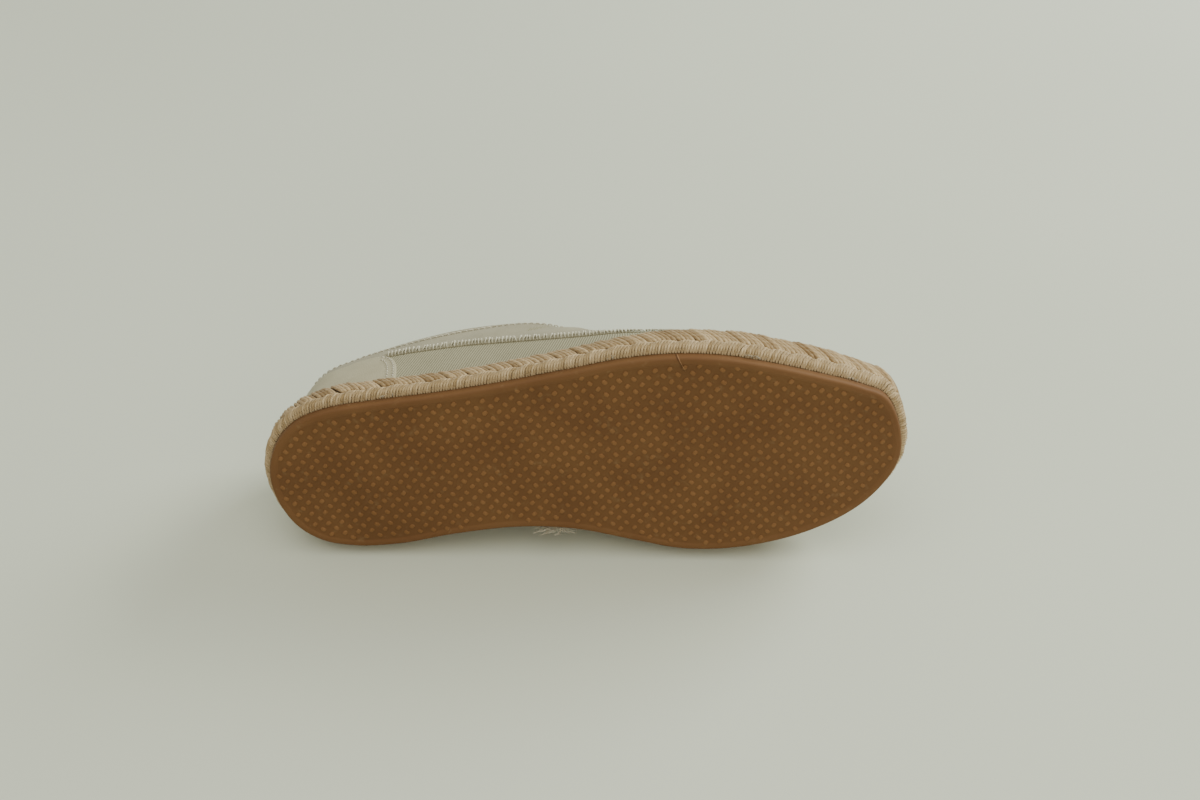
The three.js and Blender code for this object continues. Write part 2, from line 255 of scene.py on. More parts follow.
class Skin:
    """The upper's outer surface: points[i][row] with i round the loop and row up to the collar."""

    def __init__(self, stations, rows):
        starts = offset_loop(sole_loop(stations), -FEATHER_INSET)
        self.points = np.array([ray(start, rows) for start in starts])
        self.count, self.rows = len(starts), rows
        across = np.roll(self.points, -1, axis=0) - np.roll(self.points, 1, axis=0)
        normals = np.cross(across, np.gradient(self.points, axis=1))
        normals[:, 0, 2] = 0
        self.normals = normals / np.linalg.norm(normals, axis=2, keepdims=True)
        steps = np.linalg.norm(np.diff(self.points, axis=1), axis=2)
        self.length = steps.sum(axis=1)
        plan = np.roll(starts, -1, axis=0) - starts
        self.around = np.concatenate([[0], np.cumsum(np.linalg.norm(plan, axis=1))])

    def sample(self, values, i, t):
        """Values of the grid at fractional places round (i) and up (t in rows)."""
        i = np.mod(i, self.count)
        t = np.clip(t, 0, self.rows - 1e-6)
        a, b = np.floor(i).astype(int) % self.count, np.floor(t).astype(int)
        u, v = (i - np.floor(i))[..., None], (t - b)[..., None]
        c = (a + 1) % self.count
        low = values[a, b] * (1 - u) + values[c, b] * u
        high = values[a, b + 1] * (1 - u) + values[c, b + 1] * u
        return low * (1 - v) + high * v

    def at(self, i, t, lift):
        i, t = np.broadcast_arrays(np.asarray(i, float), np.asarray(t, float))
        lift = np.broadcast_to(np.asarray(lift, float), i.shape)
        normal = self.sample(self.normals, i, t)
        normal = normal / np.linalg.norm(normal, axis=-1, keepdims=True)
        return self.sample(self.points, i, t) + normal * lift[..., None]

    def rise_to(self, i, height):
        """The place t up line i where it comes to a height."""
        i = i % self.count
        a = int(i)
        mix = i - a
        z = self.points[a, :, 2] * (1 - mix) + self.points[(a + 1) % self.count, :, 2] * mix
        return float(np.interp(height, np.maximum.accumulate(z), np.arange(self.rows + 1)))

    def down_to_seam(self, i):
        """The place t up line i where it crosses the seam, or 0 where the seam is below."""
        line = self.points[int(i) % self.count]
        above = line[:, 2] - column(SEAM, 1, line[:, 0])
        if line[0, 0] > SEAM[-1, 0] or above[0] >= 0:
            return 0.0
        return float(np.interp(0, np.maximum.accumulate(above), np.arange(self.rows + 1)))

    def per_mm(self, i):
        """Rows per millimetre along line i."""
        return self.rows / self.length[int(i) % self.count]


SKIN = Skin(stations=OUTLINE_STEPS, rows=48)


def folded(points):
    """Soft waves of the worn suede, in millimetres outwards, at points of the skin."""
    x, y, z = points[..., 0], points[..., 1], points[..., 2]
    out = np.zeros(x.shape)
    # Each is a soft trough or ridge: two ends in x, y, z, half width and depth.
    waves = [
        ((62, -33, 57), (98, -33, 71), 7.0, -0.9),
        ((84, -36, 58), (120, -30, 76), 6.0, 0.45),
        ((108, -38, 55), (136, -29, 78), 7.5, -1.1),
        ((132, -41, 52), (150, -26, 77), 6.0, 0.7),
        ((20, -22, 54), (44, -30, 64), 7.0, 0.6),
        ((152, -34, 62), (172, 24, 66), 6.0, -1.9),
        ((164, -38, 55), (184, 30, 60), 5.5, 1.4),
        ((178, -42, 47), (196, 34, 54), 5.0, -1.6),
        ((66, 31, 54), (96, 31, 70), 7.0, -0.8),
        ((104, 30, 56), (132, 28, 76), 7.0, 0.8),
        ((128, 32, 50), (150, 24, 78), 6.0, -0.9),
        ((206, -30, 50), (226, 4, 52), 9.0, -0.5),
    ]
    for start, end, width, depth in waves:
        a, run = np.array(start, float), np.subtract(end, start).astype(float)
        offset = np.stack([x, y, z], axis=-1) - a
        part = np.clip((offset @ run) / (run @ run), 0, 1)
        away = np.linalg.norm(offset - part[..., None] * run, axis=-1)
        fade = 0.35 + 0.65 * np.sin(np.pi * np.clip(part, 0.02, 0.98))
        out += 0.7 * depth * fade * np.exp(-((away / width) ** 2))
    return out


def lay_matrix():
    """Turns and moves the upright shoe, in millimetres, to where the CAD has it, in metres."""
    turn = Matrix.Rotation(-math.pi / 2 - LIE_LEAN, 3, "X")
    turn = turn @ Matrix.Rotation(-LIE_YAW, 3, "Z")
    loop = sole_loop(36)
    rings = [(-0.6, 0.0), (0.0, 0.6), (0.0, RUBBER_THICK)]
    corners = []
    for grow, lift in rings:
        plan = offset_loop(loop, grow)
        corners.append(np.column_stack([plan, sole_line(plan[:, 0]) + lift]))
    turned = np.concatenate(corners) @ np.array(turn).T * MM
    low, high = (np.array(corner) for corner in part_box("outsole"))
    middle = (low + high) / 2 - (turned.min(axis=0) + turned.max(axis=0)) / 2
    return Matrix.Translation(middle) @ Matrix.Scale(MM, 4) @ turn.to_4x4()


LAY = lay_matrix()

# ---------------------------------------------------------------- mesh tools


def new_bmesh():
    bm = bmesh.new()
    bm.loops.layers.uv.new("UVMap")
    bm.verts.layers.float.new("tone")
    return bm


def add_grid(bm, points, uvs, tone=0.5, slot=0):
    """A grid whose corners take the places points[row][column]; uvs are in metres."""
    rows, columns = points.shape[:2]
    made = bmesh.ops.create_grid(bm, x_segments=columns - 1, y_segments=rows - 1, size=1.0)
    places = points.reshape(-1, 3)
    flat_uvs = np.asarray(uvs, float).reshape(-1, 2)
    tones = np.broadcast_to(np.asarray(tone, float), (rows, columns)).reshape(-1)
    layer, uv_layer = bm.verts.layers.float["tone"], bm.loops.layers.uv["UVMap"]
    faces = set()
    for k, vert in enumerate(made["verts"]):
        vert.co = places[k]
        vert[layer] = tones[k]
        vert.index = k
        faces.update(vert.link_faces)
    for face in faces:
        face.material_index = slot
        face.smooth = True
        for loop in face.loops:
            loop[uv_layer].uv = flat_uvs[loop.vert.index]
    return made["verts"]


def add_tube(bm, path, radii, lifts, sides=8, tone=0.5, flat=1.0):
    """A thread along a path, with closed ends. lifts are the outward directions along it."""
    path, lifts = np.asarray(path, float), np.asarray(lifts, float)
    run = np.gradient(path, axis=0)
    run /= np.linalg.norm(run, axis=1, keepdims=True)
    side = np.cross(lifts, run)
    side /= np.linalg.norm(side, axis=1, keepdims=True)
    lift = np.cross(run, side)
    radii = np.broadcast_to(np.asarray(radii, float), (len(path),)).copy()
    path = np.concatenate([path[:1], path, path[-1:]])
    side, lift = (np.concatenate([v[:1], v, v[-1:]]) for v in (side, lift))
    radii = np.concatenate([[0], radii, [0]])
    angle = np.linspace(0, 2 * np.pi, sides + 1)
    angle[-1] = 0
    spread = side[:, None] * np.cos(angle)[None, :, None]
    spread = spread + lift[:, None] * np.sin(angle)[None, :, None] * flat
    points = path[:, None] + spread * radii[:, None, None]
    lengths = running_length(path)
    around = np.arange(sides + 1) / sides
    uvs = np.stack(np.broadcast_arrays(around[None, :], lengths[:, None] * MM), axis=-1)
    tones = np.asarray(tone, float)
    if tones.ndim == 1:
        tones = np.concatenate([tones[:1], tones, tones[-1:]])[:, None]
    add_grid(bm, points, uvs, tone=np.broadcast_to(tones, points.shape[:2]))


def finish_piece(name, bm, materials, replaced=(), outwards=True):
    """Welds, lays down and links a piece, and hands it to the frame."""
    bmesh.ops.remove_doubles(bm, verts=bm.verts, dist=WELD)
    if outwards:
        bmesh.ops.recalc_face_normals(bm, faces=bm.faces)
    bmesh.ops.transform(bm, matrix=LAY, verts=bm.verts)
    mesh = bpy.data.meshes.new(name)
    bm.to_mesh(mesh)
    bm.free()
    for material in materials:
        mesh.materials.append(material)
    piece = bpy.data.objects.new(name, mesh)
    bpy.context.scene.collection.objects.link(piece)
    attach(piece, "root")
    if replaced:
        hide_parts(*replaced)
    return piece


def ring_strip(bm, rings, length, slot=0, tone=0.5):
    """A closed strip of rings, lowest first, each a loop of the same number of points."""
    points = np.array([np.concatenate([ring, ring[:1]]) for ring in rings])
    around = np.linspace(0, length, points.shape[1])
    steps = np.linalg.norm(np.diff(points, axis=0), axis=2).mean(axis=1)
    up = np.concatenate([[0], np.cumsum(steps)])
    uvs = np.stack(np.broadcast_arrays(around[None, :], up[:, None]), axis=-1) * MM
    add_grid(bm, points, uvs, tone=tone, slot=slot)


def ring_cap(bm, ring, height, across=6, slot=0):
    """Closes a ring with strips from the lateral to the medial side; height is of (x, y)."""
    half = len(ring) // 2
    lateral = ring[: half + 1]
    medial = np.concatenate([ring[:1], ring[:half - 1:-1]])
    part = np.linspace(0, 1, across + 1)[:, None, None]
    points = lateral[None] * (1 - part) + medial[None] * part
    inner = points[1:-1]
    inner[..., 2] = height(inner[..., 0], inner[..., 1])
    add_grid(bm, points, points[..., :2] * MM, slot=slot)


# ---------------------------------------------------------------- materials

MATH, MIX, RANGE = "ShaderNodeMath", "ShaderNodeMix", "ShaderNodeMapRange"


def colour(code):
    """An sRGB hex colour as linear RGBA."""
    parts = [int(code[k : k + 2], 16) / 255 for k in (1, 3, 5)]
    return (*[p / 12.92 if p <= 0.04045 else ((p + 0.055) / 1.055) ** 2.4 for p in parts], 1.0)


def connect(tree, node, inputs):
    """Links a node's inputs to sockets, or sets them to values."""
    for key, value in inputs.items():
        if isinstance(value, bpy.types.NodeSocket):
            tree.links.new(value, node.inputs[key])
        else:
            node.inputs[key].default_value = value


def add(tree, kind, inputs=None, out=0, **settings):
    """Adds a node with its settings and inputs, and returns one of its outputs."""
    node = tree.nodes.new(kind)
    for key, value in settings.items():
        setattr(node, key, value)
    connect(tree, node, inputs or {})
    return node.outputs[out]


def speckle(tree, size, detail):
    """An uneven pattern fixed to the object, with features about size metres across."""
    place = add(tree, "ShaderNodeTexCoord", out="Object")
    inputs = {"Vector": place, "Scale": 1 / size, "Detail": detail, "Roughness": 0.6}
    return add(tree, "ShaderNodeTexNoise", inputs)


def tinted(tree, value, ends, low, high):
    """A colour between two, by where a value lies between two ends."""
    inputs = {"Value": value, "From Min": ends[0], "From Max": ends[1]}
    amount = add(tree, RANGE, inputs, interpolation_type="SMOOTHSTEP")
    return add(tree, MIX, {0: amount, 6: low, 7: high}, out=2, data_type="RGBA")


def dusted(tree, base, value, ends, most, code):
    """A colour laid over another where a value is high, by at most a part."""
    inputs = {"Value": value, "From Min": ends[0], "From Max": ends[1], "To Max": most}
    amount = add(tree, RANGE, inputs, interpolation_type="SMOOTHSTEP")
    return add(tree, MIX, {0: amount, 6: base, 7: colour(code)}, out=2, data_type="RGBA")


def hollowed(tree, base, value, most, code):
    """A colour laid over another where a value is low, by at most a part."""
    amount = add(tree, MATH, {0: value, 1: -most, 2: most}, operation="MULTIPLY_ADD")
    return add(tree, MIX, {0: amount, 6: base, 7: colour(code)}, out=2, data_type="RGBA")


def wave(tree, along, pitch):
    """Threads or ribs side by side, from -1 to 1, at a pitch in metres."""
    turn = add(tree, MATH, {0: along, 1: 2 * math.pi / pitch}, operation="MULTIPLY")
    return add(tree, MATH, {0: turn}, operation="SINE")


def twist(tree, lay):
    """Two plies wound round a yarn, from -1 to 1; lay is the length of a turn in metres."""
    uv = add(tree, "ShaderNodeUVMap", uv_map="UVMap")
    around = add(tree, "ShaderNodeSeparateXYZ", {"Vector": uv}, out="X")
    wound = add(tree, MATH, {0: around.node.outputs["Y"], 1: 2 * math.pi / lay},
                operation="MULTIPLY")
    inputs = {0: around, 1: 4 * math.pi, 2: wound}
    turn = add(tree, MATH, inputs, operation="MULTIPLY_ADD")
    return add(tree, MATH, {0: turn}, operation="SINE")


def material(name, build, **looks):
    """The material of this name, built the first time by one of the functions below."""
    found = bpy.data.materials.get(name)
    if found:
        return found
    made = bpy.data.materials.new(name)
    made.use_nodes = True
    build(made.node_tree, made.node_tree.nodes["Principled BSDF"], **looks)
    return made


def rubber(tree, shader, low, high):
    """Moulded gum rubber: warm brown with soft clouding, fine mould grain and a dull shine."""
    base = tinted(tree, speckle(tree, 0.03, 4), (0.3, 0.7), low, high)
    base = dusted(tree, base, speckle(tree, 0.004, 5), (0.56, 0.8), 0.22, "#a08763")
    grain = speckle(tree, 0.0006, 2)
    connect(tree, shader, {
        "Base Color": base,
        "Roughness": add(tree, RANGE, {"Value": grain, "To Min": 0.5, "To Max": 0.72}),
        "Specular IOR Level": 0.16,
        "Normal": add(tree, "ShaderNodeBump",
                      {"Height": grain, "Distance": 0.00006, "Strength": 0.8}),
    })


def jute(tree, shader, low, high, fringe):
    """Twisted jute yarn: straw fibres that wind round it, tone from yarn to yarn, painted shade in
    the grooves between its plies, no shine.
    """
    plies = add(tree, MATH, {0: twist(tree, 0.0034), 1: 0.5, 2: 0.5}, operation="MULTIPLY_ADD")
    fibres = speckle(tree, 0.0005, 4)
    tone = add(tree, "ShaderNodeAttribute", out="Fac", attribute_name="tone")
    value = add(tree, MIX, {0: 0.38, 2: tone, 3: speckle(tree, 0.007, 3)})
    base = tinted(tree, value, (0.1, 0.85), low, high)
    base = dusted(tree, base, fibres, (0.52, 0.75), 0.4, fringe)
    # Painted shade: darker towards #6d5636 in the grooves between the plies.
    base = hollowed(tree, base, plies, 0.2, "#6d5636")
    height = add(tree, MATH, {0: fibres, 1: 0.8, 2: plies}, operation="MULTIPLY_ADD")
    connect(tree, shader, {
        "Base Color": base,
        "Roughness": 0.92,
        "Specular IOR Level": 0.2,
        "Sheen Weight": 0.12,
        "Normal": add(tree, "ShaderNodeBump",
                      {"Height": height, "Distance": 0.00028, "Strength": 0.9}),
    })


def canvas(tree, shader, low, high, pitch):
    """Ribbed cotton canvas: raised cords up the side, fine cross threads, unbleached and matt.

    The ribs are drawn a little coarser than they are, so that they show.
    """
    uv = add(tree, "ShaderNodeUVMap", uv_map="UVMap")
    around = add(tree, "ShaderNodeSeparateXYZ", {"Vector": uv}, out="X")
    up = around.node.outputs["Y"]
    leant = add(tree, MATH, {0: up, 1: -0.25, 2: around}, operation="MULTIPLY_ADD")
    inputs = {0: speckle(tree, 0.02, 2), 1: 0.0012, 2: leant}
    along = add(tree, MATH, inputs, operation="MULTIPLY_ADD")
    inputs = {0: wave(tree, along, pitch), 1: 0.5, 2: 0.5}
    rib = add(tree, MATH, inputs, operation="MULTIPLY_ADD")
    fuzz = speckle(tree, 0.0004, 3)
    value = add(tree, MIX, {0: 0.38, 2: rib, 3: speckle(tree, 0.012, 3)})
    base = tinted(tree, value, (0.1, 0.85), low, high)
    pale = add(tree, MATH, {0: fuzz, 1: 0.22}, operation="MULTIPLY")
    base = add(tree, MIX, {0: pale, 6: base, 7: colour("#c2bba3")}, out=2, data_type="RGBA")
    inputs = {0: wave(tree, up, 0.0007), 1: 0.12, 2: rib}
    height = add(tree, MATH, inputs, operation="MULTIPLY_ADD")
    height = add(tree, MATH, {0: fuzz, 1: 0.3, 2: height}, operation="MULTIPLY_ADD")
    connect(tree, shader, {
        "Base Color": base,
        "Roughness": 0.9,
        "Specular IOR Level": 0.2,
        "Normal": add(tree, "ShaderNodeBump",
                      {"Height": height, "Distance": 0.00022, "Strength": 0.9}),
    })


def suede(tree, shader, low, high):
    """Suede: short nap that lies in soft patches, with fine grain and a faint velvet edge."""
    nap = speckle(tree, 0.0007, 4)
    base = tinted(tree, speckle(tree, 0.022, 4), (0.3, 0.7), low, high)
    connect(tree, shader, {
        "Base Color": dusted(tree, base, nap, (0.45, 0.7), 0.3, "#b0a890"),
        "Roughness": 0.95,
        "Specular IOR Level": 0.15,
        "Sheen Weight": 0.12,
        "Sheen Roughness": 0.6,
        "Normal": add(tree, "ShaderNodeBump",
                      {"Height": nap, "Distance": 0.00016, "Strength": 0.8}),
    })


def leather(tree, shader, low, high):
    """Smooth cream leather: small pores, faint waves in its finish, and a low sheen."""
    inputs = {"Vector": add(tree, "ShaderNodeTexCoord", out="Object"), "Scale": 1 / 0.0011}
    cells = add(tree, "ShaderNodeTexVoronoi", inputs, out="Distance", feature="DISTANCE_TO_EDGE")
    inputs = {"Value": cells, "From Min": 0.0, "From Max": 0.2}
    pores = add(tree, RANGE, inputs, interpolation_type="SMOOTHSTEP")
    base = tinted(tree, speckle(tree, 0.018, 3), (0.3, 0.7), low, high)
    connect(tree, shader, {
        "Base Color": hollowed(tree, base, pores, 0.12, "#8f8970"),
        "Roughness": 0.55,
        "Specular IOR Level": 0.35,
        "Normal": add(tree, "ShaderNodeBump",
                      {"Height": pores, "Distance": 0.00005, "Strength": 0.6}),
    })


def cloth(tree, shader, low, high, pitch):
    """Plain woven cotton: crossing threads at a pitch, slightly uneven, and matt."""
    uv = add(tree, "ShaderNodeUVMap", uv_map="UVMap")
    around = add(tree, "ShaderNodeSeparateXYZ", {"Vector": uv}, out="X")
    warp, weft = wave(tree, around, pitch), wave(tree, around.node.outputs["Y"], pitch)
    crossed = add(tree, MATH, {0: warp, 1: weft}, operation="MULTIPLY")
    weave = add(tree, MATH, {0: crossed, 1: 0.5, 2: 0.5}, operation="MULTIPLY_ADD")
    value = add(tree, MIX, {0: 0.6, 2: weave, 3: speckle(tree, 0.01, 4)})
    connect(tree, shader, {
        "Base Color": tinted(tree, value, (0.15, 0.85), low, high),
        "Roughness": 0.9,
        "Sheen Weight": 0.1,
        "Normal": add(tree, "ShaderNodeBump",
                      {"Height": weave, "Distance": 0.00015, "Strength": 0.7}),
    })


def thread(tree, shader, low, high):
    """Thick waxed cotton thread: twisted plies that catch the light."""
    tone = add(tree, "ShaderNodeAttribute", out="Fac", attribute_name="tone")
    value = add(tree, MIX, {0: 0.5, 2: tone, 3: speckle(tree, 0.0008, 2)})
    connect(tree, shader, {
        "Base Color": tinted(tree, value, (0.15, 0.85), low, high),
        "Roughness": 0.75,
        "Normal": add(tree, "ShaderNodeBump",
                      {"Height": twist(tree, 0.0011), "Distance": 0.00008, "Strength": 0.6}),
    })


def cotton_thread():
    return material("cotton thread", thread, low=colour("#b5ad97"), high=colour("#d3ccb8"))


def paper(tree, shader, low, high):
    """Matt studio paper: pale grey-green with hardly visible mottling."""
    connect(tree, shader, {
        "Base Color": tinted(tree, speckle(tree, 0.6, 2), (0.3, 0.7), low, high),
        "Roughness": 0.9,
        "Specular IOR Level": 0.2,
    })


# ---------------------------------------------------------------- settings


def length_setting(name, description, default, low, high):
    return bpy.props.FloatProperty(
        name=name, description=description, default=default, min=low, max=high,
        unit="LENGTH", subtype="DISTANCE", precision=5)


def angle_setting(name, description, degrees):
    return bpy.props.FloatProperty(
        name=name, description=description, default=math.radians(degrees),
        unit="ROTATION", subtype="ANGLE")


def colour_setting(name, description, code):
    return bpy.props.FloatVectorProperty(
        name=name, description=description, default=colour(code), size=4, min=0, max=1,
        subtype="COLOR")


class SoleSettings(bpy.types.PropertyGroup):
    tread_cell: length_setting(
        "Tread cell", "Pitch of the tread's square grid", 0.0064, 0.004, 0.012)
    tread_turn: angle_setting(
        "Tread turn", "Turn of the grid against the sole's long axis", 3.3)
    border: length_setting(
        "Border", "Width of the smooth border round the tread", 0.003, 0.001, 0.01)
    recess: length_setting(
        "Recess", "Depth of the field between the lugs", 0.00045, 0.0002, 0.002)
    rubber_dark: colour_setting("Rubber, dark", "Deeper tone of the border", "#6c4a2c")
    rubber_light: colour_setting("Rubber, light", "Paler tone of the border", "#735131")


class BraidSettings(bpy.types.PropertyGroup):
    pitch: length_setting("Braid pitch", "Length of one lobe of the braid", 0.00995, 0.006, 0.02)
    slant: angle_setting("Slant", "Lean of the upper yarns towards the heel", 37)
    seed: bpy.props.IntProperty(
        name="Seed", description="Seed of the small differences between yarns", default=11)
    yarn_dark: colour_setting("Yarn, dark", "Deeper tone of the upper yarns", "#8d7049")
    yarn_light: colour_setting("Yarn, light", "Paler tone of the upper yarns", "#c6ab82")


class UpperSettings(bpy.types.PropertyGroup):
    rib_pitch: length_setting("Rib pitch", "Pitch of the canvas ribs", 0.0013, 0.0005, 0.004)
    wall: length_setting("Wall", "Thickness of canvas and lining", 0.0018, 0.001, 0.003)
    stitch_pitch: length_setting(
        "Stitch pitch", "Pitch of the whip stitches along the seam", 0.0017, 0.0008, 0.004)
    canvas_dark: colour_setting("Canvas, dark", "Tone between the ribs", "#868065")
    canvas_light: colour_setting("Canvas, light", "Tone on the ribs", "#a59e83")
    suede_dark: colour_setting("Suede, dark", "Deeper tone of the nap", "#918970")
    suede_light: colour_setting("Suede, light", "Paler tone of the nap", "#a1997f")
    leather_dark: colour_setting("Leather, dark", "Deeper tone of the counter", "#aba286")
    leather_light: colour_setting("Leather, light", "Paler tone of the counter", "#b6ad91")


class StageSettings(bpy.types.PropertyGroup):
    size: length_setting("Floor size", "Side of the square floor", 8.0, 2.0, 30.0)
    lens: bpy.props.FloatProperty(
        name="Lens", description="Focal length of the camera",
        default=41.71, min=10, max=200, unit="CAMERA", subtype="DISTANCE_CAMERA")


# ---------------------------------------------------------------- the pieces


class ESPADRILLE_OT_outsole(bpy.types.Operator):
    """Rubber sole with a smooth border and a recessed field full of small slanted lugs"""

    bl_idname = "espadrille.outsole"
    bl_label = "Rubber outsole"

    def execute(self, context):
        settings = context.scene.espadrille_sole
        border, recess = settings.border / MM, settings.recess / MM
        loop = sole_loop(OUTLINE_STEPS)
        length = even_loop(loop, 10)[1]

        def ring(grow, lift):
            plan = offset_loop(loop, grow)
            return np.column_stack([plan, sole_line(plan[:, 0]) + lift])

        bm = new_bmesh()
        side = [ring(grow, lift) for grow, lift in SOLE_EDGE]
        side += [ring(-border + 0.5, 0), ring(-border, 0.08), ring(-border - 0.35, recess * 0.7)]
        side += [ring(-border - 0.8, recess)]
        ring_strip(bm, side[::-1], length, slot=0)
        ring_cap(bm, side[-1], lambda x, y: sole_line(x) + recess, slot=1)
        ring_cap(bm, side[0], lambda x, y: sole_line(x) + RUBBER_THICK, slot=0)
        materials = [
            material("gum rubber", rubber, low=settings.rubber_dark, high=settings.rubber_light),
            material("gum rubber, tread field", rubber,
                     low=colour("#664629"), high=colour("#6e4d2d")),
        ]
        finish_piece("outsole", bm, materials, replaced=["outsole"])
        self.lugs(settings, border, recess)
        return {"FINISHED"}

    def lugs(self, settings, border, recess):
        """Rounded bars on a square grid, those between leaning the other way."""
        random.seed(5)
        cell, turn = settings.tread_cell / MM, settings.tread_turn
        edge = offset_loop(sole_loop(OUTLINE_STEPS), -border - 0.6)
        lateral, medial = edge[: OUTLINE_STEPS + 1], edge[OUTLINE_STEPS:][::-1]
        lateral_x = np.sort(lateral[:, 0])
        bm = new_bmesh()
        outline = np.array(LUG_OUTLINE + LUG_OUTLINE[:1])
        levels = [(1.12, recess + 0.1), (1.0, recess * 0.6), (0.86, 0.06), (0.6, 0.0), (0.0, 0.0)]
        cells = itertools.product(range(-50, 51), range(-40, 41), (0.0, 0.5))
        for i, j, half in cells:
            a, b = i + half, j + half
            x = (a * math.cos(turn) + b * math.sin(turn) + TREAD_START[0]) * cell
            y = (-a * math.sin(turn) + b * math.cos(turn) + TREAD_START[1]) * cell
            if not edge[:, 0].min() < x < edge[:, 0].max():
                continue
            low = np.interp(x, lateral_x, lateral[:, 1])
            high = np.interp(x, medial[:, 0], medial[:, 1])
            if not low < y < high:
                continue
            lean = math.radians(-45 if half else 45) + random.gauss(0, 0.04)
            turned = np.array([[math.cos(lean), -math.sin(lean)],
                               [math.sin(lean), math.cos(lean)]])
            shape = outline * random.gauss(1.0, 0.03) @ turned.T
            rows = []
            for scale, depth in levels:
                plan = shape * scale + (x, y)
                rows.append(np.column_stack([plan, sole_line(plan[:, 0]) + depth]))
            points = np.array(rows)
            add_grid(bm, points, points[..., :2] * MM, tone=random.random())
        # The lugs are paler than the border: partly wear, partly painted highlight where their
        # tops catch the light from above.
        lugs = material("gum rubber, worn lugs with painted highlight", rubber,
                        low=colour("#795430"), high=colour("#835d38"))
        finish_piece("tread_lugs", bm, [lugs])


